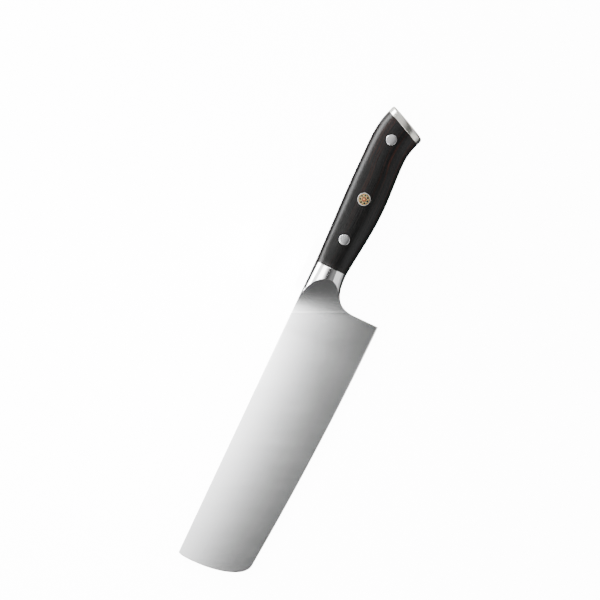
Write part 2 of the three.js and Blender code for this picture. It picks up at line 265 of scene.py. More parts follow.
def closed_shell(rows, seat):
    """A closed shell from rows of points down to their seat, its top faces first."""
    upper = np.vstack(rows)
    low = seat(upper[:, 0], upper[:, 1])
    upper[:, 2] = np.maximum(upper[:, 2], low)
    lower = np.column_stack([upper[:, :2], low])
    columns, count = len(rows[0]), len(upper)
    top = grid_faces(len(rows), columns)
    faces = top + [tuple(count + i for i in reversed(face)) for face in top]
    for row in (0, len(rows) - 1):
        for column in range(columns - 1):
            a, b = row * columns + column, row * columns + column + 1
            faces.append((a, b, count + b, count + a))
    return np.vstack([upper, lower]), faces


def new_object(name, data):
    made = bpy.data.objects.new(name, data)
    bpy.context.scene.collection.objects.link(made)
    return made


def face_outward(mesh, merge=False):
    solid = bmesh.new()
    solid.from_mesh(mesh)
    if merge:
        bmesh.ops.remove_doubles(solid, verts=solid.verts, dist=MERGE_DISTANCE)
        bmesh.ops.dissolve_degenerate(solid, edges=solid.edges, dist=MERGE_DISTANCE)
    bmesh.ops.recalc_face_normals(solid, faces=solid.faces)
    solid.to_mesh(mesh)
    solid.free()


def soften(mesh, sharp_angle):
    mesh.shade_smooth()
    mesh.set_sharp_from_angle(angle=math.radians(sharp_angle))


def piece_of(name, points, faces, finishes, sharp_angle, finish_of=None):
    """A closed, outward-facing mesh object from points in the drawing's millimetres.

    finishes are its materials, and finish_of says which of them each face takes."""
    mesh = bpy.data.meshes.new(name)
    places = DRAWING_ORIGIN + MM * np.asarray(points, float)
    mesh.from_pydata(places.tolist(), [], faces)
    if finish_of is not None:
        mesh.polygons.foreach_set("material_index", finish_of)
    face_outward(mesh, merge=True)
    soften(mesh, sharp_angle)
    for finish in finishes:
        mesh.materials.append(finish)
    return new_object(name, mesh)


def drawing_places(mesh):
    """A mesh's points in the drawing's millimetres."""
    places = np.empty(len(mesh.vertices) * 3, np.float32)
    mesh.vertices.foreach_get("co", places)
    return (places.reshape(-1, 3) - DRAWING_ORIGIN) / MM


# Shader helpers

FLOAT, VECTOR = "NodeSocketFloat", "NodeSocketVector"
MIX_SHARE, MIX_FIRST, MIX_SECOND, MIX_RESULT = 0, 6, 7, 2
SANDED_BUMP = 0.2


def fill(tree, socket, value):
    """Links a socket to another node's output, or sets its value."""
    if isinstance(value, bpy.types.NodeSocket):
        tree.links.new(value, socket)
    elif value is not None:
        socket.default_value = value


def put(tree, kind, *values, named=None, output=0, **settings):
    """Adds a node, fills its inputs in order and by name, and returns one output."""
    made = tree.nodes.new(kind)
    for setting, value in settings.items():
        setattr(made, setting, value)
    pairs = list(zip(made.inputs, values))
    pairs += [(made.inputs[name], value) for name, value in (named or {}).items()]
    for socket, value in pairs:
        fill(tree, socket, value)
    return made.outputs[output]


def maths(tree, operation, *values):
    return put(tree, "ShaderNodeMath", *values, operation=operation)


def plus(tree, total, *others):
    for other in others:
        total = maths(tree, "ADD", total, other)
    return total


def minus(tree, value, other):
    return maths(tree, "SUBTRACT", value, other)


def times(tree, product, *others):
    for other in others:
        product = maths(tree, "MULTIPLY", product, other)
    return product


def scaled(tree, vector, factors):
    return put(tree, "ShaderNodeVectorMath", vector, factors, operation="MULTIPLY")


def length_of(tree, vector):
    return put(tree, "ShaderNodeVectorMath", vector, operation="LENGTH", output="Value")


def coordinates(tree, vector):
    """The X, Y and Z of a vector."""
    return put(tree, "ShaderNodeSeparateXYZ", vector).node.outputs


def object_place(tree):
    return put(tree, "ShaderNodeTexCoord", output="Object")


def noise(tree, vector, scale, detail, roughness):
    return put(tree, "ShaderNodeTexNoise", named={
        "Vector": vector, "Scale": scale, "Detail": detail, "Roughness": roughness,
    })


def remap(tree, value, low, high, to_low, to_high):
    return put(tree, "ShaderNodeMapRange", value, low, high, to_low, to_high)


def mask(tree, value, low, high):
    """0 up to a low value, 1 from a high one."""
    return remap(tree, value, low, high, 0.0, 1.0)


def bump(tree, strength, distance, height):
    return put(tree, "ShaderNodeBump", named={"Strength": strength, "Distance": distance, "Height": height})


def opaque(colour, shade=1.0):
    return tuple(shade * part for part in colour) + (1,)


def mix_colour(tree, share, first, second):
    made = tree.nodes.new("ShaderNodeMix")
    made.data_type = "RGBA"
    for index, value in ((MIX_SHARE, share), (MIX_FIRST, first), (MIX_SECOND, second)):
        fill(tree, made.inputs[index], value)
    return made.outputs[MIX_RESULT]


def wire(tree, node, **values):
    for name, value in values.items():
        fill(tree, node.inputs[name.replace("_", " ")], value)


def use_group(tree, group, **values):
    made = tree.nodes.new("ShaderNodeGroup")
    made.node_tree = group
    wire(tree, made, **values)
    return made.outputs


def material_of(name):
    made = bpy.data.materials.new(name)
    made.use_nodes = True
    tree = made.node_tree
    return made, tree, tree.nodes["Principled BSDF"]


def shader_group(name, inputs, outputs):
    """An empty shader node group with named inputs (with default values) and outputs."""
    tree = bpy.data.node_groups.new(name, "ShaderNodeTree")
    for label, (kind, value) in inputs.items():
        socket = tree.interface.new_socket(label, in_out="INPUT", socket_type=kind)
        if value is not None:
            socket.default_value = value
    for label in outputs:
        tree.interface.new_socket(label, in_out="OUTPUT", socket_type=FLOAT)
    return tree, tree.nodes.new("NodeGroupInput").outputs, tree.nodes.new("NodeGroupOutput").inputs


# Steel: belt marks, their sheen and relief, and the traces of use

BAND_STRETCH = (0.3, 0.12, 0.12)
BAND_SHARE = 0.3
SCRATCH_TURN = 0.9
SCRATCH_STRETCH = (60, 2600, 2600)
MARK_RELIEF = 0.02 * MM
BRUSH_TURN = math.radians(-115.5)

# The belt's stop line, painted into the colour as a painted highlight with a painted shadow beside it: each
# stroke's offset, strength and shade.
STOP_LINE_PLACE = (13.5, 1.3)
STOP_LINE_CORE = 0.1 * MM
STOP_LINE_WIDTH = 0.75 * MM
STOP_LINE_HIGHLIGHT_AND_SHADOW = ((0.0, 1.0, 1.3), (-1.0 * MM, 0.7, 0.8))


def grinding_lines_group():
    """Fine parallel belt marks along the vector's x, with slow changes of sheen between them."""
    tree, given, result = shader_group("grinding_lines", {
        "Vector": (VECTOR, None),
        "Mark Length": (FLOAT, 0.03),
        "Mark Pitch": (FLOAT, 0.0003),
    }, ("Marks", "Bands"))
    per_length = maths(tree, "DIVIDE", 1.0, given["Mark Length"])
    per_pitch = maths(tree, "DIVIDE", 1.0, given["Mark Pitch"])
    fine = scaled(tree, given["Vector"], put(tree, "ShaderNodeCombineXYZ", per_length, per_pitch, per_pitch))
    coarse = scaled(tree, fine, BAND_STRETCH)
    tree.links.new(noise(tree, fine, 1.0, 3.0, 0.65), result["Marks"])
    tree.links.new(noise(tree, coarse, 1.0, 2.0, 0.5), result["Bands"])
    return tree


def handling_group():
    """Soft smudges and a few fine stray scratches left by use."""
    tree, given, result = shader_group("handling", {
        "Vector": (VECTOR, None),
        "Smudge Size": (FLOAT, 0.012),
    }, ("Smudges", "Scratches"))
    smudge = noise(tree, given["Vector"], maths(tree, "DIVIDE", 1.0, given["Smudge Size"]), 3.0, 0.55)
    tree.links.new(mask(tree, smudge, 0.42, 0.72), result["Smudges"])
    skew = put(tree, "ShaderNodeMapping", named={
        "Vector": given["Vector"], "Rotation": (0, 0, SCRATCH_TURN), "Scale": SCRATCH_STRETCH,
    })
    scratch = noise(tree, skew, 1.0, 1.0, 0.4)
    tree.links.new(mask(tree, scratch, 0.72, 0.8), result["Scratches"])
    return tree


GRINDING = grinding_lines_group()
HANDLING = handling_group()


def belt_stop_painted_light(tree, tone, colour, turned, turn):
    """Paints the belt's stop line over a tone as a painted highlight and a painted shadow, along the turned
    belt marks.
    """
    x, y = DRAWING_ORIGIN[:2] + MM * np.asarray(STOP_LINE_PLACE)
    middle = float(math.sin(turn) * x + math.cos(turn) * y)
    aside = coordinates(tree, turned)["Y"]
    for offset, strength, shade in STOP_LINE_HIGHLIGHT_AND_SHADOW:
        reach = maths(tree, "ABSOLUTE", minus(tree, aside, middle + offset))
        stroke = remap(tree, reach, STOP_LINE_CORE, STOP_LINE_WIDTH, strength, 0.0)
        tone = mix_colour(tree, stroke, tone, opaque(colour, shade))
    return tone


def steel(name, colour, roughness, spread, turn, mark_length, mark_pitch, relief, smudge, contrast,
          paint_stop_line_light=False):
    """Ground metal: belt marks turned in the side view, with their sheen, relief and handling marks."""
    made, tree, shader = material_of(name)
    place = object_place(tree)
    turned = put(tree, "ShaderNodeMapping", named={"Vector": place, "Rotation": (0, 0, turn)})
    belt = use_group(tree, GRINDING, Vector=turned, Mark_Length=mark_length, Mark_Pitch=mark_pitch)
    wear = use_group(tree, HANDLING, Vector=place, Smudge_Size=smudge)
    rough = plus(tree, remap(tree, belt["Marks"], 0.25, 0.75, roughness - spread, roughness + spread),
                 times(tree, wear["Smudges"], spread), times(tree, wear["Scratches"], spread))
    sheen = plus(tree, times(tree, belt["Marks"], 1 - BAND_SHARE), times(tree, belt["Bands"], BAND_SHARE))
    dull, bright = opaque(colour, 1 - contrast), opaque(colour, 1 + contrast)
    tone = mix_colour(tree, mask(tree, sheen, 0.3, 0.7), dull, bright)
    # The stop line's painted highlight and painted shadow go into the base colour.
    if paint_stop_line_light:
        tone = belt_stop_painted_light(tree, tone, colour, turned, turn)
    wire(tree, shader, Base_Color=tone, Metallic=1.0, Roughness=rough,
         Normal=bump(tree, relief, MARK_RELIEF, belt["Marks"]))
    return made


def pin_metal(name, colour, roughness):
    return steel(name, colour, roughness, spread=0.03, turn=0.3, mark_length=0.004, mark_pitch=0.00012,
                 relief=0.06, smudge=0.002, contrast=0.06)


blade_satin = steel(
    "blade_satin", (0.74, 0.745, 0.75), roughness=0.18, spread=0.012, turn=BRUSH_TURN,
    mark_length=0.04, mark_pitch=0.0006, relief=0.06, smudge=0.02, contrast=0.05, paint_stop_line_light=True)
bolster_polish = steel(
    "bolster_polish", (0.82, 0.825, 0.83), roughness=0.11, spread=0.01, turn=1.4,
    mark_length=0.02, mark_pitch=0.0003, relief=0.03, smudge=0.008, contrast=0.02)
cap_satin = steel(
    "cap_satin", (0.8, 0.79, 0.73), roughness=0.2, spread=0.02, turn=0.4,
    mark_length=0.02, mark_pitch=0.0003, relief=0.06, smudge=0.01, contrast=0.05)
rivet_polish = steel(
    "rivet_polish", (0.78, 0.785, 0.79), roughness=0.19, spread=0.012, turn=0.7,
    mark_length=0.01, mark_pitch=0.0002, relief=0.03, smudge=0.004, contrast=0.03)
pin_silver = pin_metal("pin_silver", (0.84, 0.83, 0.77), 0.5)
pin_brass = pin_metal("pin_brass", (0.82, 0.64, 0.28), 0.55)
pin_copper = pin_metal("pin_copper", (0.41, 0.125, 0.065), 0.55)


# Ebony: near-black heartwood with red-brown streaks, and dark rings round the fastenings, a dark seam with
# painted shade

EBONY_DARK, EBONY_LIGHT = (0.0068, 0.0066, 0.0067), (0.0115, 0.0111, 0.0111)
EBONY_STREAK = (0.042, 0.0145, 0.0105)
EBONY_PORE = (0.002, 0.0018, 0.0016)
SEAM_AND_SHADE_BLACK = (0.0015, 0.0012, 0.0011)
RING_START, RING_END = 0.25, 0.8
GRAIN_WAVE = 9.0
WOOD_RELIEF = 0.04 * MM
OIL_SHINE = 0.26
OIL_ROUGHNESS = (0.25, 0.33)
PORE_ROUGHNESS, RING_ROUGHNESS = 0.2, 0.4
RED_FADE = (-85.0, -45.0)


def seam_and_painted_shade(tree, place, centre, radius):
    """1 up to just past a fastening's radius, falling to 0 over the width of the dark ring in the wood: a
    dark seam with painted shade round the fastening.
    """
    x, y = DRAWING_ORIGIN[:2] + MM * centre
    flat = put(tree, "ShaderNodeMapping", named={
        "Vector": place, "Location": (-float(x), -float(y), 0), "Scale": (1, 1, 0),
    })
    return remap(tree, length_of(tree, flat), (radius + RING_START) * MM, (radius + RING_END) * MM, 1.0, 0.0)


def ebony_finish():
    """Near-black heartwood with fine red-brown streaks along the grip, pores, and an oiled shine."""
    made, tree, shader = material_of("ebony_oiled")
    place = object_place(tree)
    grain = put(tree, "ShaderNodeAttribute", output="Vector", attribute_name="grain")

    def figure(vector, stretch, detail, roughness):
        return noise(tree, scaled(tree, vector, stretch), 1.0, detail, roughness)

    drift = figure(grain, (0.02, 0.05, 0.05), 2.0, 0.5)
    shift = put(tree, "ShaderNodeCombineXYZ", 0.0, times(tree, drift, GRAIN_WAVE), 0.0)
    waved = put(tree, "ShaderNodeVectorMath", grain, shift, operation="ADD")
    streaks = figure(waved, (0.012, 0.75, 0.35), 3.0, 0.6)
    fibres = figure(waved, (0.06, 5.0, 3.0), 3.0, 0.6)
    patches = figure(grain, (0.03, 0.1, 0.1), 1.0, 0.5)
    pores = figure(waved, (0.5, 7.0, 7.0), 2.0, 0.6)
    red = times(
        tree,
        mask(tree, streaks, 0.52, 0.68),
        remap(tree, fibres, 0.3, 0.65, 0.35, 1.0),
        remap(tree, patches, 0.35, 0.6, 0.25, 1.0),
        remap(tree, coordinates(tree, grain)["X"], *RED_FADE, 1.0, 0.3),
    )
    open_pores = mask(tree, pores, 0.62, 0.72)
    # The dark ring round each fastening is partly a dark seam and partly painted shade.
    ring = seam_and_painted_shade(tree, place, pin_centre, PIN_RADIUS)
    for centre in rivet_centres:
        ring = maths(tree, "MAXIMUM", ring, seam_and_painted_shade(tree, place, centre, RIVET_HEAD_RADIUS))
    wood = mix_colour(tree, fibres, opaque(EBONY_DARK), opaque(EBONY_LIGHT))
    for share, colour in ((red, EBONY_STREAK), (open_pores, EBONY_PORE), (ring, SEAM_AND_SHADE_BLACK)):
        wood = mix_colour(tree, share, wood, opaque(colour))
    rough = plus(tree, remap(tree, fibres, 0.3, 0.7, *OIL_ROUGHNESS),
                 times(tree, open_pores, PORE_ROUGHNESS), times(tree, ring, RING_ROUGHNESS))
    wire(tree, shader, Base_Color=wood, Roughness=rough, Specular_IOR_Level=OIL_SHINE,
         Normal=bump(tree, SANDED_BUMP, WOOD_RELIEF, minus(tree, fibres, open_pores)))
    return made


ebony = ebony_finish()


# Casting resin

RESIN_CLOUD_SCALE, RESIN_GRIT_SCALE = 900.0, 9000.0
RESIN_ROUGHNESS, RESIN_SPREAD = 0.5, 0.08
RESIN_RELIEF = 0.01 * MM


def cast_resin(name, dark, light):
    """Cast filling with a slight cloud and a sanded surface."""
    made, tree, shader = material_of(name)
    place = object_place(tree)
    cloud = noise(tree, place, RESIN_CLOUD_SCALE, 3.0, 0.6)
    grit = noise(tree, place, RESIN_GRIT_SCALE, 2.0, 0.5)
    rough = remap(tree, grit, 0.3, 0.7, RESIN_ROUGHNESS - RESIN_SPREAD, RESIN_ROUGHNESS + RESIN_SPREAD)
    wire(tree, shader, Base_Color=mix_colour(tree, cloud, opaque(dark), opaque(light)), Roughness=rough,
         Normal=bump(tree, SANDED_BUMP, RESIN_RELIEF, grit))
    return made


resin_black = cast_resin("resin_black", (0.003, 0.0028, 0.0025), (0.008, 0.007, 0.006))
resin_olive = cast_resin("resin_olive", (0.016, 0.014, 0.009), (0.05, 0.043, 0.026))


# Bolster halves: an oval cut by the slanted round grind, which runs out into the blade's face.

RUN_OUT_DEPTH = 0.8
LONGEST_SHARE = 2.0
BOLSTER_COLUMNS, OVAL_ROWS, HOLLOW_ROWS, RUN_OUT_ROWS = 140, 48, 40, 40
FEATHER_LIFT = 0.004
SEAT_LIFT = 0.001
JOINT_EASE = 0.16
JOINT_EASE_RUN = 0.55
JOINT_EASE_ROWS = 6
JOINT_EASE_SPACING = 1.5
CREASE_POINTS = 1601
HALVINGS = 50
BOLSTER_SHARP = 28
GRIND_ALONG = np.array([math.cos(GRIND_SLANT), math.sin(GRIND_SLANT)])
FEATHER_AT = GRIND_START - math.sqrt(FEATHER_THICKNESS * (2 * GRIND_RADIUS - FEATHER_THICKNESS))

belly_path = np.vstack([choil_line, heel])
path_lengths = lengths_along(belly_path)
feather_length = np.interp(FEATHER_AT, belly_path @ GRIND_ALONG, path_lengths)


def bolster_place(share, angle):
    """Place in the side view of a station's share and a section's angle; share 1 is the feather line."""
    back_x = JOINT_X + share * (FEATHER_AT / GRIND_ALONG[0] - JOINT_X)
    belly_x = np.interp(share * feather_length, path_lengths, belly_path[:, 0])
    belly_y = np.interp(share * feather_length, path_lengths, belly_path[:, 1])
    across = (1 - rounded(np.cos(angle))) / 2
    half = BOLSTER_THICKNESS / 2 - BOLSTER_TAPER * ((back_x + belly_x) / 2 - JOINT_X)
    return back_x + (belly_x - back_x) * across, belly_y * across, half


def grind_depth(x, y):
    return GRIND_START - x * GRIND_ALONG[0] - y * GRIND_ALONG[1]


def bolster_skin(share, angle):
    x, y, half = bolster_place(share, angle)
    low = face_z(x, y)
    return np.column_stack([x, y, low + (half - low) * rounded(np.sin(angle))])


def bolster_hollow(share, angle):
    x, y, _ = bolster_place(share, angle)
    depth = np.clip(grind_depth(x, y), RUN_OUT_DEPTH, GRIND_RADIUS)
    height = math.sqrt(GRIND_RADIUS ** 2 - RUN_OUT_DEPTH ** 2) - np.sqrt(GRIND_RADIUS ** 2 - depth ** 2)
    return np.column_stack([x, y, face_z(x, y) + FEATHER_LIFT + height])


def shares_where(reached, angles, low, high):
    """The least share, column by column, at which a test comes true."""
    low, high = np.full_like(angles, low), np.full_like(angles, high)
    for _ in range(HALVINGS):
        middle = (low + high) / 2
        there = reached(middle, angles)
        low, high = np.where(there, low, middle), np.where(there, middle, high)
    return high


def bolster_rows():
    """Rows of points over one half: the eased joint, the oval and the hollow, then the blade's run-out."""
    angles = math.pi * np.linspace(0, 1, CREASE_POINTS)[1:-1]
    crease = shares_where(
        lambda share, angle: bolster_skin(share, angle)[:, 2] > bolster_hollow(share, angle)[:, 2],
        angles, 0.0, LONGEST_SHARE)
    steps = lengths_along(bolster_skin(crease, angles)[:, :2])
    spots = np.linspace(0, steps[-1], BOLSTER_COLUMNS - 2)
    columns = np.concatenate([[0], np.interp(spots, steps, angles), [math.pi]])
    meets = np.concatenate([[1], np.minimum(np.interp(spots, steps, crease), 1), [1]])
    ends = shares_where(
        lambda share, angle: grind_depth(*bolster_place(share, angle)[:2]) < RUN_OUT_DEPTH,
        columns, 1.0, LONGEST_SHARE)

    def low_top(share):
        skin, hollow = bolster_skin(share, columns), bolster_hollow(share, columns)
        return np.where((skin[:, 2] < hollow[:, 2])[:, None], skin, hollow)

    first = JOINT_EASE_RUN / (FEATHER_AT / GRIND_ALONG[0] - JOINT_X)
    spread = first * (np.arange(JOINT_EASE_ROWS) / JOINT_EASE_ROWS) ** JOINT_EASE_SPACING
    eased_joint = [bolster_skin(np.full_like(columns, share), columns) for share in spread]
    oval_part = [bolster_skin(first + (meets - first) * share, columns)
                 for share in np.linspace(0, 1, OVAL_ROWS)]
    half_depth = NECK_DEPTH / 2
    for row in eased_joint + oval_part:
        run = np.clip((row[:, 0] - JOINT_X) / JOINT_EASE_RUN, 0, 1)
        squeeze = 1 - JOINT_EASE * (1 - np.sqrt(1 - (1 - run) ** 2)) / half_depth
        row[:, 1] = half_depth + (row[:, 1] - half_depth) * squeeze
        low = face_z(row[:, 0], row[:, 1])
        row[:, 2] = low + (row[:, 2] - low) * squeeze
    hollow_part = [low_top(meets + (1 - meets) * share) for share in np.linspace(0, 1, HOLLOW_ROWS)[1:]]
    run_out = [low_top(1 + (ends - 1) * share) for share in np.linspace(0, 1, RUN_OUT_ROWS)]
    return eased_joint + oval_part, hollow_part, run_out


def face_seat(x, y):
    return face_z(x, y) + SEAT_LIFT


skin_rows, hollow_rows, run_out_rows = bolster_rows()


def make_bolsters():
    points, faces = closed_shell(skin_rows + hollow_rows, face_seat)
    columns = len(skin_rows[0])
    first_ground = (len(skin_rows) - 1) * (columns - 1)
    finish_of = np.zeros(len(faces), np.int32)
    finish_of[first_ground:first_ground + len(hollow_rows) * (columns - 1)] = 1
    return [
        piece_of(name, points * (1, 1, sign), faces, [bolster_polish, blade_satin], BOLSTER_SHARP, finish_of)
        for name, sign in (("bolster_ground_left", 1), ("bolster_ground_right", -1))
    ]


# Blade: one blank with the tang; its rim is eased on the spine and tip and bevelled at the edge.

SPINE_EASE = 0.3
TIP_EASE = 0.22
HIDDEN_EASE = 0.02
GUARD_STRIP = 0.3
RIM_STEPS = 8
STEP_WIDTH = 0.02
RIM_DEPTH = 0.6
SPINE_EASE_RUN = (9, 20)
KEEN_SHARE = 0.5
EDGE_POINTS, TIP_POINTS, FRONT_POINTS, SPINE_POINTS, DROP_POINTS, LINE_POINTS = 140, 70, 40, 120, 30, 90
BLADE_SHARP = 12


def blade_outline():
    """Rim points in order from the heel, with each one's easing width, keenness and two joint places."""
    edge_end_x = BLADE_LENGTH - TIP_CORNER_LENGTH
    edge_end = np.array([edge_end_x, edge_y(edge_end_x)])
    end_slope = -EDGE_HEEL_SLOPE - edge_end_x / EDGE_BELLY_RADIUS
    edge_x = np.linspace(0, edge_end_x, EDGE_POINTS)
    edge = np.stack([edge_x, edge_y(edge_x)], axis=1)
    tip = bezier([
        edge_end,
        edge_end + TIP_CORNER_REACH * np.array([1, end_slope]),
        (BLADE_LENGTH, edge_end[1] - TIP_CORNER_RISE),
        (BLADE_LENGTH, TIP_FULLEST_DEPTH),
    ], TIP_POINTS)[1:]
    front = bezier([
        (BLADE_LENGTH, TIP_FULLEST_DEPTH),
        (BLADE_LENGTH, TIP_SPINE_ROUND),
        (BLADE_LENGTH - TIP_SPINE_SETBACK, 0),
    ], FRONT_POINTS)[1:]
    spine_x = np.linspace(front[-1, 0], JOINT_X, SPINE_POINTS)[1:]
    spine = np.stack([spine_x, np.zeros_like(spine_x)], axis=1)
    back = spaced(back_line, np.linspace(0, 1, LINE_POINTS))[1:]
    middle = (back_end + belly_end) / 2
    tenon = np.array([
        middle + cap_along * side * TENON_WIDTH / 2 + cap_out * out
        for side, out in ((-1, 0), (-1, TENON_LENGTH), (1, TENON_LENGTH), (1, 0))
    ])
    belly = spaced(belly_line, np.linspace(1, 0, LINE_POINTS))
    belly[-1, 0] -= STEP_WIDTH
    choil = spaced(choil_line, np.linspace(0, 1, LINE_POINTS))
    drop_y = np.linspace(CHOIL_DROP, HEEL_HEIGHT - 2 * EDGE_BEVEL_WIDTH, DROP_POINTS)[1:]
    drop = np.stack([np.zeros_like(drop_y), drop_y], axis=1)
    parts = [edge, tip, front, spine, back, tenon, belly, choil, drop]
    rim = np.vstack(parts)
    blunt = smooth(0, KEEN_SHARE, np.linspace(0, 1, len(tip)))
    ease = np.concatenate([
        np.full(len(edge), EDGE_BEVEL_WIDTH),
        EDGE_BEVEL_WIDTH + (TIP_EASE - EDGE_BEVEL_WIDTH) * blunt,
        np.full(len(front), TIP_EASE),
        HIDDEN_EASE + (SPINE_EASE - HIDDEN_EASE) * smooth(*SPINE_EASE_RUN, spine_x),
        np.full(sum(len(part) for part in parts[4:]), HIDDEN_EASE),
    ])
    keen = np.zeros(len(rim))
    keen[:len(edge)] = 1
    keen[len(edge):len(edge) + len(tip)] = 1 - blunt
    at_back = sum(len(part) for part in parts[:4]) - 1
    at_tang = sum(len(part) for part in parts[:7]) - 1
    return rim, ease, keen, at_back, at_tang


def inset(rim, widths):
    """Moves each rim point inwards by its width, square to the rim on both sides of it."""
    before, after = rim - np.roll(rim, 1, axis=0), np.roll(rim, -1, axis=0) - rim
    normals = []
    for step in (before, after):
        step = step / np.linalg.norm(step, axis=1)[:, None]
        normals.append(np.stack([-step[:, 1], step[:, 0]], axis=1))
    area = np.sum(rim[:, 0] * np.roll(rim[:, 1], -1) - rim[:, 1] * np.roll(rim[:, 0], -1))
    inward = 1 if area > 0 else -1
    middle = normals[0] + normals[1]
    middle /= np.sum(normals[0] * middle, axis=1)[:, None]
    moved = rim + inward * middle * widths[:, None]
    moved[0] = rim[0] + (HIDDEN_EASE, -widths[0])
    return moved


def make_blade():
    rim, ease, keen, at_back, at_tang = blade_outline()
    count = len(rim)
    in_tang = np.zeros(count, bool)
    in_tang[at_back + 1:at_tang + 1] = True

    def side(points):
        return np.where(in_tang, SPINE_HALF, face_z(points[:, 0], points[:, 1]))

    shoulder = inset(rim, ease)
    guard = inset(rim, ease + GUARD_STRIP)
    top = side(shoulder)
    drop = keen * (top - EDGE_FLAT / 2) + (1 - keen) * np.minimum(ease, RIM_DEPTH * top)
    rings = [np.column_stack([guard, side(guard)])]
    for step in np.linspace(0, 1, RIM_STEPS + 1):
        angle = step * math.pi / 2
        out = keen * step + (1 - keen) * math.sin(angle)
        down = keen * step + (1 - keen) * (1 - math.cos(angle))
        flat = shoulder + (rim - shoulder) * out[:, None]
        rings.append(np.column_stack([flat, top - drop * down]))
    rings += [ring * (1, 1, -1) for ring in reversed(rings)]
    faces = grid_faces(len(rings), count, closed=True)
    on_blade = list(range(at_back + 1)) + list(range(at_tang + 1, count))
    on_tang = list(range(at_back, at_tang + 1))
    step_face = [at_back, at_tang, at_tang + 1]
    last = (len(rings) - 1) * count
    for flat_face in (on_blade, on_tang, step_face):
        faces.append(tuple(flat_face))
        faces.append(tuple(last + i for i in reversed(flat_face)))
    points = np.vstack(rings)
    run_out, shell_faces = closed_shell(run_out_rows, face_seat)
    for sign in (1, -1):
        faces += [tuple(len(points) + i for i in face) for face in shell_faces]
        points = np.vstack([points, run_out * (1, 1, sign)])
    return piece_of("blade_ground", points, faces, [blade_satin], BLADE_SHARP)


# Scales: fine oval skins on the tang, bored for the rivets and the pin.

SCALE_STATIONS, SCALE_ANGLES = 170, 72
HOLE_SIDES = 72
SEAM = 0.28
SEAM_DEPTH = 1.4
HEAD_EASE = 0.15
HEAD_FIT = 0.02
CUTTER_TOP = 15
WOOD_EASE = 0.22
WOOD_EASE_RUN = 0.4
WOOD_EASE_STEPS = 6
GRAIN_STATIONS = 400
WOOD_SHARP = 40


def grip_skin(fineness=1):
    """Sections of the grip from the bolster to the cap, eased where the wood meets the cap."""
    stations = fineness * SCALE_STATIONS
    run = WOOD_EASE_RUN / lengths_along(back_line)[-1]
    steps = np.linspace(0, 1, WOOD_EASE_STEPS + 1)[1:]
    shares = np.concatenate([np.linspace(0, 1 - run, stations), 1 - run * (1 - steps)])
    ease = np.concatenate([np.zeros(stations), WOOD_EASE * (1 - np.sqrt(1 - steps ** 2))])
    angles = math.pi * np.linspace(0, 1, fineness * SCALE_ANGLES + 1)
    back, belly = spaced(back_line, shares), spaced(belly_line, shares)
    across = (belly - back) / np.linalg.norm(belly - back, axis=1)[:, None] * ease[:, None]
    return oval(back + across, belly - across, grip_thickness(shares) / 2 - ease, tang_seat, angles)


def grain_coordinates(mesh):
    """Gives each point its place along, across and through the wood, bent with the grip's middle line."""
    places = drawing_places(mesh)
    shares = np.linspace(0, 1, GRAIN_STATIONS)
    middle = (spaced(back_line, shares) + spaced(belly_line, shares)) / 2
    order = np.argsort(middle[:, 0])
    bend = np.interp(places[:, 0], middle[order, 0], middle[order, 1])
    grain = np.column_stack([places[:, 0], places[:, 1] - bend, places[:, 2]])
    layer = mesh.attributes.new("grain", "FLOAT_VECTOR", "POINT")
    layer.data.foreach_set("vector", grain.astype(np.float32).ravel())


def bake(blank):
    """Replaces an object's mesh by what its modifiers make of it."""
    depsgraph = bpy.context.evaluated_depsgraph_get()
    mesh = bpy.data.meshes.new_from_object(blank.evaluated_get(depsgraph), depsgraph=depsgraph)
    mesh.name = blank.name
    blank.modifiers.clear()
    blank.data = mesh


def bore_holes(blank, holes, sign):
    """Cuts round holes through a piece along z, each wider by the seam down to a shelf under the surface."""
    angles = 2 * math.pi * np.arange(HOLE_SIDES) / HOLE_SIDES
    circle = np.column_stack([np.cos(angles), np.sin(angles)])
    cutters = []
    for centre, radius, shelf in holes:
        steps = ((radius, 0), (radius, shelf), (radius + SEAM, shelf), (radius + SEAM, CUTTER_TOP))
        points = np.vstack([
            np.column_stack([centre + reach * circle, np.full(HOLE_SIDES, sign * z)]) for reach, z in steps
        ])
        faces = grid_faces(len(steps), HOLE_SIDES, closed=True)
        last = (len(steps) - 1) * HOLE_SIDES
        faces += [tuple(range(HOLE_SIDES)), tuple(range(last, last + HOLE_SIDES))]
        cutter = piece_of("hole_cutter", points, faces, [ebony], WOOD_SHARP)
        cut = blank.modifiers.new("hole", "BOOLEAN")
        cut.object, cut.operation, cut.solver = cutter, "DIFFERENCE", "EXACT"
        cutters.append(cutter)
    bake(blank)
    for cutter in cutters:
        bpy.data.objects.remove(cutter)


def make_scales():
    skin = grip_skin()
    upper = skin.reshape(-1, 3)
    points, faces = closed_shell(list(skin), tang_seat)
    fastened = [(centre, RIVET_HEAD_RADIUS) for centre in rivet_centres] + [(pin_centre, PIN_RADIUS)]
    holes = []
    for centre, radius in fastened:
        nearest = np.argmin(np.linalg.norm(upper[:, :2] - centre, axis=1))
        holes.append((centre, radius - HEAD_EASE + HEAD_FIT, upper[nearest, 2] - SEAM_DEPTH))
    made = []
    for name, sign in (("scale_shaped_left", 1), ("scale_shaped_right", -1)):
        scale = piece_of(name, points * (1, 1, sign), faces, [ebony], WOOD_SHARP)
        bore_holes(scale, holes, sign)
        soften(scale.data, WOOD_SHARP)
        grain_coordinates(scale.data)
        made.append(scale)
    return made


# End cap: the grip's oval carried on, with its outer edges rounded over.

CAP_ANGLES = 56
CAP_ROUND_STEPS = 12
CAP_INNER_RING = 0.8
CAP_EASE = 0.3
CAP_EASE_STEPS = 6
CAP_SHARP = 35


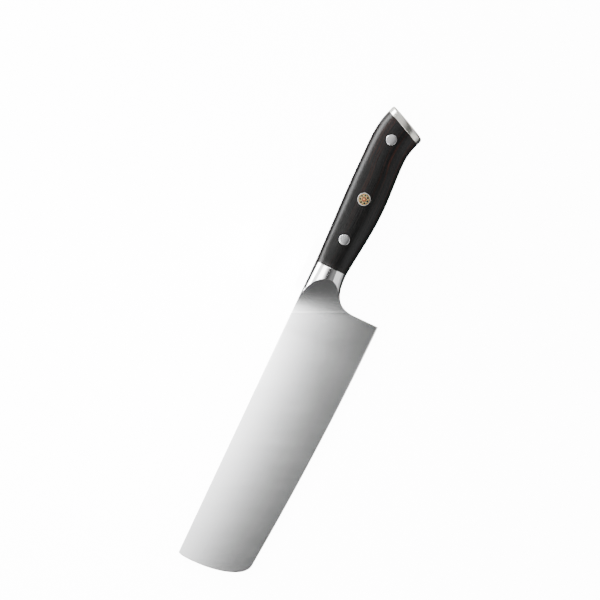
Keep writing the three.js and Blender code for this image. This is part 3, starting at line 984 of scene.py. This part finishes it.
def make_cap():
    run = np.array([-1, END_SLOPE])
    run = run / (run @ cap_out)
    angles = math.pi * np.linspace(0, 1, CAP_ANGLES + 1)

    def section(depth, ease, shrink=0.0):
        back = back_end + run * (CAP_GAP + depth) + cap_along * (CAP_ROUND_BACK * ease + shrink)
        belly = belly_end + run * (CAP_GAP + depth) - cap_along * (CAP_ROUND_BELLY * ease + shrink)
        half = GRIP_THICKNESS[-1] / 2 - CAP_ROUND_SIDE * ease - shrink
        left = oval(back, belly, np.asarray(half), tang_seat, angles)
        return np.vstack([left, left[::-1] * (1, 1, -1)])

    deepest = max(CAP_ROUND_BACK, CAP_ROUND_BELLY, CAP_ROUND_SIDE)
    rings = [section(0, 0, CAP_INNER_RING)]
    for angle in np.linspace(0, math.pi / 2, CAP_EASE_STEPS + 1):
        rings.append(section(CAP_EASE * (1 - math.cos(angle)), 0, CAP_EASE * (1 - math.sin(angle))))
    rings.append(section((CAP_THICKNESS - deepest) / 2, 0))
    for angle in np.linspace(0, math.pi / 2, CAP_ROUND_STEPS + 1):
        depth = CAP_THICKNESS - deepest + deepest * math.sin(angle)
        rings.append(section(depth, 1 - math.cos(angle)))
    rings.append(section(CAP_THICKNESS, 1, CAP_INNER_RING))
    size = len(rings[0])
    faces = grid_faces(len(rings), size, closed=True)
    last = (len(rings) - 1) * size
    faces += [tuple(range(size)), tuple(last + i for i in reversed(range(size)))]
    return piece_of("end_cap_rounded", np.vstack(rings), faces, [cap_satin], CAP_SHARP)


# Rivets and pins: built once by rule, set out on their centres and finished flush with the grip.

CONTOUR_FINENESS = 4
RAY_HEIGHT = 1.0
ROUGH_LENGTH = 0.01
HEAD_SIDES, HEAD_RINGS, SHANK_SIDES = 72, 40, 40
ROD_SIDES, ROD_RINGS, TUBE_SIDES = 40, 4, 64
HEAD_PROFILE = ((0.6, 0.99), (0.8, 0.96), (0.87, 0.9), (0.935, 0.78), (0.97, 0.575), (0.99, 0.345))
HEAD_CROWN = 0.5
HEAD_SINK = 0.34
CORE_SPREAD = 0.3
CORE_PROUD = 0.06
FASTENING_SHARP = 35
GEOMETRY, OBJECT = "NodeSocketGeometry", "NodeSocketObject"


def socket_of(tree, label, kind, in_out="INPUT"):
    return tree.interface.new_socket(label, in_out=in_out, socket_type=kind)


def flush_group():
    """Lifts both ends of what runs through the grip to the wood's surface, plus the stored lift."""
    tree = bpy.data.node_groups.new("flush_with_grip", "GeometryNodeTree")
    socket_of(tree, "Pieces", GEOMETRY)
    socket_of(tree, "Grip Contour", OBJECT)
    socket_of(tree, "Middle", FLOAT)
    socket_of(tree, "Pieces", GEOMETRY, "OUTPUT")
    given = tree.nodes.new("NodeGroupInput").outputs
    result = tree.nodes.new("NodeGroupOutput").inputs
    parts = coordinates(tree, put(tree, "GeometryNodeInputPosition"))
    contour = put(tree, "GeometryNodeObjectInfo", given["Grip Contour"], output="Geometry")
    above = put(tree, "ShaderNodeCombineXYZ", parts["X"], parts["Y"], RAY_HEIGHT)
    hit = put(tree, "GeometryNodeRaycast", contour, output="Hit Position", named={
        "Source Position": above, "Ray Direction": (0, 0, -1), "Ray Length": 2 * RAY_HEIGHT,
    })
    wood = coordinates(tree, hit)["Z"]
    lift = put(tree, "GeometryNodeInputNamedAttribute", "lift", data_type="FLOAT")
    reach = plus(tree, minus(tree, wood, given["Middle"]), lift)
    side = maths(tree, "SIGN", minus(tree, parts["Z"], given["Middle"]))
    height = plus(tree, given["Middle"], times(tree, side, reach))
    moved = put(tree, "GeometryNodeSetPosition", given["Pieces"], named={
        "Position": put(tree, "ShaderNodeCombineXYZ", parts["X"], parts["Y"], height),
    })
    tree.links.new(put(tree, "GeometryNodeRemoveAttribute", moved, named={"Name": "lift"}), result["Pieces"])
    return tree


FLUSH = flush_group()


def with_lift(tree, geometry, value):
    return put(tree, "GeometryNodeStoreNamedAttribute", geometry, data_type="FLOAT", domain="POINT",
               named={"Name": "lift", "Value": value})


def finish_flush(tree, given, pieces):
    """Realizes the set-out pieces, brings them flush and gives them their material."""
    flush = tree.nodes.new("GeometryNodeGroup")
    flush.node_tree = FLUSH
    wire(tree, flush, Pieces=put(tree, "GeometryNodeRealizeInstances", pieces),
         Grip_Contour=given["Grip Contour"], Middle=given["Middle"])
    dressed = put(tree, "GeometryNodeSetMaterial", flush.outputs["Pieces"],
                  named={"Material": given["Material"]})
    tree.links.new(dressed, tree.nodes.new("NodeGroupOutput").inputs["Pieces"])


def start_tree(name, sizes):
    tree = bpy.data.node_groups.new(name, "GeometryNodeTree")
    socket_of(tree, "Centres", GEOMETRY)
    socket_of(tree, "Grip Contour", OBJECT)
    socket_of(tree, "Material", "NodeSocketMaterial")
    for label, kind in sizes.items():
        socket_of(tree, label, kind)
    socket_of(tree, "Pieces", GEOMETRY, "OUTPUT")
    return tree, tree.nodes.new("NodeGroupInput").outputs


def rivet_tree():
    """Rivets with a slightly crowned, round-edged head at both ends, joined by a shank."""
    tree, given = start_tree("cutlers_rivets", {
        "Middle": FLOAT, "Head Radius": FLOAT, "Head Thickness": FLOAT, "Shank Radius": FLOAT,
        "Crown": FLOAT, "Proud": FLOAT,
    })
    under = times(tree, given["Head Thickness"], -1.0)
    head = put(tree, "GeometryNodeMeshCylinder", fill_type="TRIANGLE_FAN", named={
        "Vertices": HEAD_SIDES, "Side Segments": 1, "Fill Segments": HEAD_RINGS,
        "Radius": given["Head Radius"], "Depth": given["Head Thickness"],
    })
    place = put(tree, "GeometryNodeInputPosition")
    reach = length_of(tree, scaled(tree, place, (1, 1, 0)))
    share = maths(tree, "DIVIDE", reach, given["Head Radius"])
    profile = tree.nodes.new("ShaderNodeFloatCurve")
    curve = profile.mapping.curves[0]
    curve.points[0].location, curve.points[1].location = (0, 1), (1, 0)
    for spot in HEAD_PROFILE:
        curve.points.new(*spot)
    profile.mapping.update()
    tree.links.new(share, profile.inputs["Value"])
    crown = plus(tree, times(tree, profile.outputs[0], given["Crown"]), given["Proud"])
    is_top = maths(tree, "GREATER_THAN", coordinates(tree, place)["Z"], 0.0)
    lift = put(tree, "GeometryNodeSwitch", is_top, under, crown, input_type="FLOAT")
    raised = put(tree, "GeometryNodeTransform", with_lift(tree, head, lift),
                 named={"Translation": (0, 0, ROUGH_LENGTH / 2)})
    turned = put(tree, "GeometryNodeTransform", raised, named={"Rotation": (math.pi, 0, 0)})
    shank = put(tree, "GeometryNodeMeshCylinder", named={
        "Vertices": SHANK_SIDES, "Radius": given["Shank Radius"], "Depth": ROUGH_LENGTH,
    })
    join = tree.nodes.new("GeometryNodeJoinGeometry")
    for part in (raised, turned, with_lift(tree, shank, under)):
        tree.links.new(part, join.inputs[0])
    placed = put(tree, "GeometryNodeInstanceOnPoints", given["Centres"], named={"Instance": join.outputs[0]})
    finish_flush(tree, given, placed)
    return tree


def pin_tree():
    """Rods or tubes set out in a ring, or a single one where the ring has no radius."""
    tree, given = start_tree("mosaic_ring", {
        "Middle": FLOAT, "Count": "NodeSocketInt", "Ring Radius": FLOAT, "First Angle": FLOAT,
        "Radius": FLOAT, "Bore": FLOAT, "Is Tube": "NodeSocketBool", "Proud": FLOAT,
    })
    rod = put(tree, "GeometryNodeMeshCylinder", fill_type="TRIANGLE_FAN", named={
        "Vertices": ROD_SIDES, "Fill Segments": ROD_RINGS, "Radius": given["Radius"], "Depth": ROUGH_LENGTH,
    })
    middle_radius = times(tree, plus(tree, given["Radius"], given["Bore"]), 0.5)
    ring = put(tree, "GeometryNodeCurvePrimitiveCircle", named={
        "Resolution": TUBE_SIDES, "Radius": middle_radius,
    })
    wall = put(tree, "GeometryNodeCurvePrimitiveQuadrilateral", named={
        "Width": minus(tree, given["Radius"], given["Bore"]), "Height": ROUGH_LENGTH,
    })
    tube = put(tree, "GeometryNodeCurveToMesh", ring, wall)
    shape = put(tree, "GeometryNodeSwitch", given["Is Tube"], rod, tube, input_type="GEOMETRY")
    step = maths(tree, "DIVIDE", 2 * math.pi, given["Count"])
    angle = plus(tree, given["First Angle"], times(tree, put(tree, "GeometryNodeInputIndex"), step))
    turns = [maths(tree, turn, angle) for turn in ("COSINE", "SINE")]
    x, y = (times(tree, given["Ring Radius"], turn) for turn in turns)
    spot = put(tree, "ShaderNodeCombineXYZ", x, y, 0.0)
    spots = put(tree, "GeometryNodePoints", given["Count"], spot)
    around = put(tree, "GeometryNodeInstanceOnPoints", spots, named={
        "Instance": with_lift(tree, shape, given["Proud"]),
    })
    placed = put(tree, "GeometryNodeInstanceOnPoints", given["Centres"], named={"Instance": around})
    finish_flush(tree, given, placed)
    return tree


def set_out(name, tree, centres, material, contour, **sizes):
    """Runs a tree on its centres, with sizes in metres, and keeps the result as a plain mesh."""
    mesh = bpy.data.meshes.new(name)
    points = np.column_stack([centres, np.zeros(len(centres))])
    mesh.from_pydata((DRAWING_ORIGIN + MM * points).tolist(), [], [])
    made = new_object(name, mesh)
    modifier = made.modifiers.new(name, "NODES")
    modifier.node_group = tree
    values = {"Grip Contour": contour, "Material": material, "Middle": at("Z", 0)}
    values.update({label.replace("_", " "): value for label, value in sizes.items()})
    for item in tree.interface.items_tree:
        if item.in_out == "INPUT" and item.name in values:
            modifier[item.identifier] = values[item.name]
    bake(made)
    face_outward(made.data)
    soften(made.data, FASTENING_SHARP)
    return made


def make_fastenings():
    """The rivets and every part of the mosaic pin, each with the CAD nodes it stands for and its slot."""
    skin = grip_skin(CONTOUR_FINENESS)
    contour = piece_of("grip_contour", skin.reshape(-1, 3), grid_faces(*skin.shape[:2]), [ebony], WOOD_SHARP)
    rivets = set_out(
        "rivets_pressed", rivet_tree(), np.array(rivet_centres), rivet_polish, contour,
        Head_Radius=(RIVET_HEAD_RADIUS - HEAD_EASE) * MM, Head_Thickness=RIVET_HEAD_THICKNESS * MM,
        Shank_Radius=RIVET_SHANK_RADIUS * MM, Crown=HEAD_CROWN * MM, Proud=-HEAD_SINK * MM)
    bore = PIN_RADIUS - PIN_WALL
    half_step = math.pi / PIN_COUNT
    ring = (bore - PIN_SKIN / 2) / (1 + math.sin(half_step))
    brass = ring * math.sin(half_step) - PIN_SKIN / 2
    copper_reach, brass_reach = bore - PIN_SKIN, brass + PIN_SKIN
    along = ring * math.cos(half_step)
    copper = (copper_reach ** 2 + ring ** 2 - 2 * copper_reach * along - brass_reach ** 2) / (
        2 * (copper_reach - along + brass_reach))
    first = -math.pi / 2 - PIN_TURN
    pins = pin_tree()
    numbers = range(1, PIN_COUNT + 1)

    def around(name, material, radius, hole=0.0, count=1, ring_radius=0.0, angle=0.0, proud=PROUD_OF_WOOD):
        return set_out(
            name, pins, pin_centre[None, :], material, contour, Count=count, Ring_Radius=ring_radius * MM,
            First_Angle=angle, Radius=radius * MM, Bore=hole * MM, Is_Tube=hole > 0, Proud=proud * MM)

    core = PIN_CORE_RADIUS + CORE_SPREAD
    in_ring = {"count": PIN_COUNT, "ring_radius": ring, "angle": first + half_step}
    in_gaps = {"count": PIN_COUNT, "ring_radius": copper_reach - copper, "angle": first}
    parts = [
        (rivets, "rivet_steel",
         [f"rivet_{place}_{half}" for place in ("front", "rear") for half in ("solid", "hollow")]),
        (around("pin_sleeve", pin_silver, PIN_RADIUS - HEAD_EASE, bore),
         "pin_sleeve", ["mosaic_sleeve"]),
        (around("pin_brass_tubes", pin_brass, brass, core, **in_ring),
         "pin_brass", [f"mosaic_brass_tube_{i}" for i in numbers]),
        (around("pin_dark_cores", resin_black, core, proud=CORE_PROUD, **in_ring),
         "pin_core", [f"mosaic_dark_core_{i}" for i in numbers]),
        (around("pin_copper_rods", pin_copper, copper + PIN_SKIN / 2, **in_gaps),
         "pin_copper", [f"mosaic_copper_rod_{i}" for i in numbers]),
        (around("pin_centre_tube", pin_copper, ring - brass_reach, PIN_CENTRE_CORE + PIN_FIT),
         "pin_copper", ["mosaic_centre_tube"]),
        (around("pin_centre_rod", pin_brass, PIN_CENTRE_CORE),
         "pin_brass", ["mosaic_centre_rod"]),
    ]
    bpy.data.objects.remove(contour)
    return parts


# Put the pieces in place of their nodes

bolster_left, bolster_right = make_bolsters()
scale_left, scale_right = make_scales()
dressed = [
    (make_blade(), "blade_steel", ["blade"]),
    (bolster_left, "bolster_steel", ["bolster_left"]),
    (bolster_right, "bolster_steel", ["bolster_right"]),
    (scale_left, "ebony", ["scale_left"]),
    (scale_right, "ebony", ["scale_right"]),
    (make_cap(), "cap_steel", ["end_cap"]),
] + make_fastenings()
for piece, slot, nodes in dressed:
    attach(piece, "root")
    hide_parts(*nodes)
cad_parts["mosaic_resin"].data.materials.clear()
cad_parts["mosaic_resin"].data.materials.append(resin_olive)


# Stage: a pale floor, soft light panels and cards, and the photograph's view

WHITE = (1, 1, 1, 1)
FLOOR_PALE = (0.85, 0.85, 0.85, 1)
FLOOR_HALF = 12.0
FLOOR_ROUGHNESS = 0.9
BACKGROUND_LIGHT = 13.0
FLOOR_MIRRORED = 0.07
SURROUND_LIGHT = 0.15
CARD_LIGHT = 0.15
FLAG_LIGHT = 0.13
BLADE_LIGHT = 2.6
BLADE_LIGHT_LINE = 20
CROWN_HEIGHT = 8.5
CROWN_MIDDLE = 10.1
CROWN_SPINE_LIGHT, CROWN_BELLY_LIGHT, CROWN_LEAST = 60.0, 0.8, 0.04

PHOTO_CENTRE = np.array([5.21, 1.48, 0.0])
PHOTO_WIDTH = 367.2 * MM
PHOTO_RIGHT = (-0.4258, 0.9048, 0.0)
PHOTO_UP = (-0.9048, -0.4258, 0.0)
CAMERA_DISTANCE = 1.6
SENSOR = 36.0


def glow(tree, level):
    return put(tree, "ShaderNodeEmission", WHITE, level)


def blended(tree, share, first, second):
    return put(tree, "ShaderNodeMixShader", share, first, second)


def clear(tree):
    return put(tree, "ShaderNodeBsdfTransparent")


def stage_place(tree):
    return coordinates(tree, object_place(tree))


def ramp(tree, place, axis, start, end, first, last):
    """Goes from a first to a last level between two drawing lengths on an axis."""
    return remap(tree, place[axis], at(axis, start), at(axis, end), first, last)


def blade_light(tree):
    """Full along the spine side, falling off evenly across the blade and slowly towards the tip."""
    place = stage_place(tree)
    past = minus(tree, at("Y", BLADE_LIGHT_LINE), place["Y"])
    steepness = ramp(tree, place, "X", 25, 65, 68.0, 79.0)
    fall = times(tree, maths(tree, "EXPONENT", times(tree, past, steepness)), BLADE_LIGHT)
    level = plus(tree, fall, ramp(tree, place, "Y", 58, 72, 0.0, 0.3))
    level = maths(tree, "MINIMUM", level, ramp(tree, place, "X", 45, 75, 14.0, 7.0))
    return glow(tree, times(
        tree, level,
        ramp(tree, place, "X", 25, 65, 0.82, 1.0),
        ramp(tree, place, "X", 110, 190, 1.0, 0.58),
    ))


def grip_light(tree):
    """Dim over the wood, fading past its middle, and brighter over the bolster."""
    place = stage_place(tree)
    level = plus(tree, ramp(tree, place, "X", -60, -10, 1.0, 0.65), ramp(tree, place, "X", 14, 32, 0.0, 2.75))
    return glow(tree, times(tree, level, ramp(tree, place, "Y", -30, 45, 1.0, 0.12)))


def spine_light(tree):
    """Strong beside the grip, weak beside the blade."""
    place = stage_place(tree)
    return glow(tree, ramp(tree, place, "X", 8, 50, 21.0, 2.0))


def belly_light(tree):
    """Dim over the end cap, brighter over the wood, and brightest over the blade's heel."""
    place = stage_place(tree)
    return glow(tree, plus(
        tree,
        ramp(tree, place, "X", -110, -60, 0.7, 1.35),
        ramp(tree, place, "X", -40, -12, 0.0, -0.15),
        ramp(tree, place, "X", -12, 45, 0.0, 0.5),
    ))


def crown_light(tree):
    """A fan over the bolster's crown: dark in its middle line, light sooner on the spine side."""
    place = stage_place(tree)
    over = minus(tree, place["Z"], at("Z", CROWN_HEIGHT))
    slope = maths(tree, "DIVIDE", minus(tree, place["Y"], at("Y", CROWN_MIDDLE)), over)
    to_spine = maths(tree, "POWER", maths(tree, "MAXIMUM", times(tree, slope, -1.0), 0.0), 2.0)
    to_belly = maths(tree, "MAXIMUM", slope, 0.0)
    level = plus(tree, times(tree, to_spine, CROWN_SPINE_LIGHT), times(tree, to_belly, CROWN_BELLY_LIGHT))
    return glow(tree, plus(tree, level, CROWN_LEAST))


def flag_shade(tree):
    """Darkens what the hollow mirrors: dense at the flag's foot, thin towards its top and the belly side."""
    place = stage_place(tree)
    top = times(tree, ramp(tree, place, "Z", 62, 178, 0.92, 0.2), ramp(tree, place, "Y", 10, 34, 1.0, 0.15))
    foot = ramp(tree, place, "Z", 51, 71, 1.0, 0.0)
    flag = blended(tree, maths(tree, "MAXIMUM", top, foot), clear(tree), glow(tree, FLAG_LIGHT))
    from_blade = put(tree, "ShaderNodeNewGeometry", output="Backfacing")
    return blended(tree, from_blade, flag, clear(tree))


def even_light(level):
    return lambda tree: glow(tree, level)


def card_shade(opacity):
    return lambda tree: blended(tree, opacity, clear(tree), glow(tree, CARD_LIGHT))


def strip(start, end, first, last):
    """Corners of a sheet between two x, from one edge's y and z to the other's."""
    return [(start, *first), (end, *first), (end, *last), (start, *last)]


def wall(start, end, foot, top):
    """Corners of a sheet between two y, from its foot's x and z to its top's."""
    return [(x, y, z) for (x, z), ys in ((foot, (start, end)), (top, (end, start))) for y in ys]


RIM_CARD = [(-34, -6, -9), (-2, -6, -9), (-2, -6, 6.1), (-21, -6, 5.9), (-34, -6, 5.0)]
CAP_PANEL = [(-134, -3, -9), (-115, -9.5, -9), (-115, -9.5, 4.5), (-134, -3, 4.5)]
CROWN_CARD = [(-6, 7.8, 16), (-6, 13.3, 16), (-6, 50, 110), (-6, -23, 110)]
SPINE_PANEL = [
    (-620, -620, -8), (-60, -620, -8), (20, -620, 5), (340, -620, 5), (340, -640, 300), (45, -640, 300),
    (10, -640, 235), (-2, -640, 190), (-15, -640, 155), (-48, -640, 150), (-72, -640, 240),
    (-90, -640, 300), (-620, -640, 330),
]
STAGE_SHEETS = {
    "blade_panel": (blade_light, strip(-4, 240, (-110, 190), (110, 190))),
    "grip_panel": (grip_light, strip(-300, 240, (70, 260), (-460, 260))),
    "spine_panel": (spine_light, SPINE_PANEL),
    "bolster_panel": (even_light(19.0), strip(-22.5, 4, (-25, 2), (-25, 27))),
    "belly_panel": (belly_light, strip(-300, 300, (165, 280), (480, 160))),
    "low_panel": (even_light(0.7), strip(-300, 300, (490, -8), (485, 150))),
    "hollow_flag": (flag_shade, wall(80, -60, (28, 24), (42, 180))),
    "rim_card": (card_shade(1.0), RIM_CARD),
    "grip_flag": (card_shade(0.75), wall(-20, 32, (-21.5, 14), (-21.5, 105))),
    "head_card": (card_shade(1.0), strip(-114, -34, (15.6, 9.8), (15.6, 12.2))),
    "butt_panel": (even_light(1.2), wall(-300, 300, (-300, -8), (-300, 250))),
    "cap_panel": (even_light(2.2), CAP_PANEL),
    "crown_card": (crown_light, CROWN_CARD),
}


def sheet_of(name, cover, places):
    """A flat stage piece with a material of its own."""
    mesh = bpy.data.meshes.new(name)
    mesh.from_pydata(places, [], [tuple(range(len(places)))])
    finish, tree, shader = material_of(cover)
    mesh.materials.append(finish)
    made = new_object(name, mesh)
    return made, tree, shader


def make_sheets():
    """The panels and cards, hidden from the camera."""
    for name, (surface_of, corners) in STAGE_SHEETS.items():
        places = DRAWING_ORIGIN + MM * np.asarray(corners, float)
        made, tree, shader = sheet_of(name, name, places.tolist())
        made.visible_camera = False
        tree.nodes.remove(shader)
        tree.links.new(surface_of(tree), tree.nodes["Material Output"].inputs["Surface"])


def make_floor():
    """White to the camera, pale to the light, dark in the steel."""
    half = FLOOR_HALF
    corners = [(-half, -half, 0), (half, -half, 0), (half, half, 0), (-half, half, 0)]
    _, tree, shader = sheet_of("floor", "floor_pale", corners)
    wire(tree, shader, Base_Color=FLOOR_PALE, Roughness=FLOOR_ROUGHNESS)
    ray = tree.nodes.new("ShaderNodeLightPath").outputs
    lit = put(tree, "ShaderNodeAddShader", shader.outputs[0], glow(tree, BACKGROUND_LIGHT))
    seen = blended(tree, ray["Is Camera Ray"], shader.outputs[0], lit)
    mirrored = blended(tree, ray["Is Glossy Ray"], seen, glow(tree, FLOOR_MIRRORED))
    tree.links.new(mirrored, tree.nodes["Material Output"].inputs["Surface"])


def make_surround():
    world = bpy.data.worlds.new("studio")
    world.use_nodes = True
    tree = world.node_tree
    seen = tree.nodes.new("ShaderNodeLightPath").outputs["Is Camera Ray"]
    wire(tree, tree.nodes["Background"], Color=WHITE,
         Strength=remap(tree, seen, 0.0, 1.0, SURROUND_LIGHT, BACKGROUND_LIGHT))
    bpy.context.scene.world = world


def make_camera():
    """Looks straight down on the knife's side, turned as in the photograph."""
    lens = bpy.data.cameras.new("photo_camera")
    lens.sensor_width = SENSOR
    lens.lens = SENSOR * CAMERA_DISTANCE / PHOTO_WIDTH
    camera = new_object("photo_camera", lens)
    turn = Matrix((PHOTO_RIGHT, PHOTO_UP, (0, 0, 1))).transposed().to_4x4()
    spot = DRAWING_ORIGIN + MM * PHOTO_CENTRE + np.array([0, 0, CAMERA_DISTANCE])
    camera.matrix_world = Matrix.Translation(spot.tolist()) @ turn
    bpy.context.scene.camera = camera


make_floor()
make_sheets()
make_surround()
make_camera()
